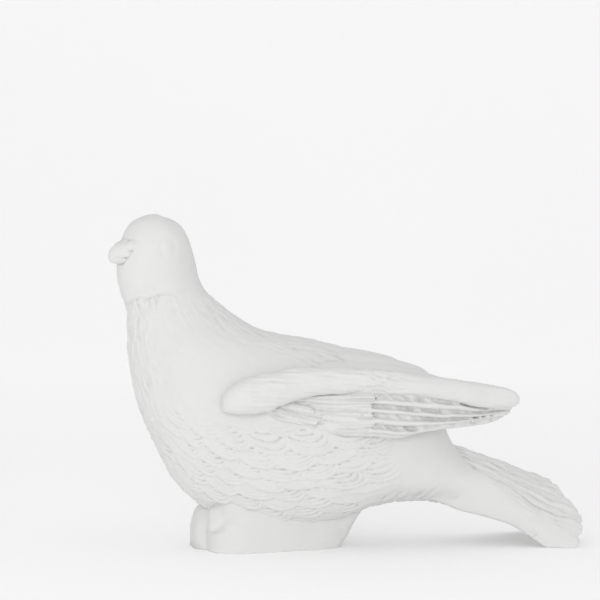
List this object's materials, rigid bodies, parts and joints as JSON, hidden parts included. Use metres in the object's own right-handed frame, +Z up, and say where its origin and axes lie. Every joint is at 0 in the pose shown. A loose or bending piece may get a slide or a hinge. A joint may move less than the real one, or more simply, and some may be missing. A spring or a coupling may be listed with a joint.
{
  "type": "dove statue",
  "caption": "White matt cast dove resting on a low plinth, its head turned aside, its wings held a little off the body, its tail down to the ground.",
  "frame": {"origin": "middle of the plinth's flat underside, on the ground", "axes": "-X towards the beak, +X towards the tail, -Y the bird's left side, +Z up"},
  "size_m": [0.2914, 0.129, 0.2036],
  "materials": {
    "white_stone": "matt cast white stone"
  },
  "bodies": {
    "root": {"dove": "white_stone"}
  },
  "joints": []
}
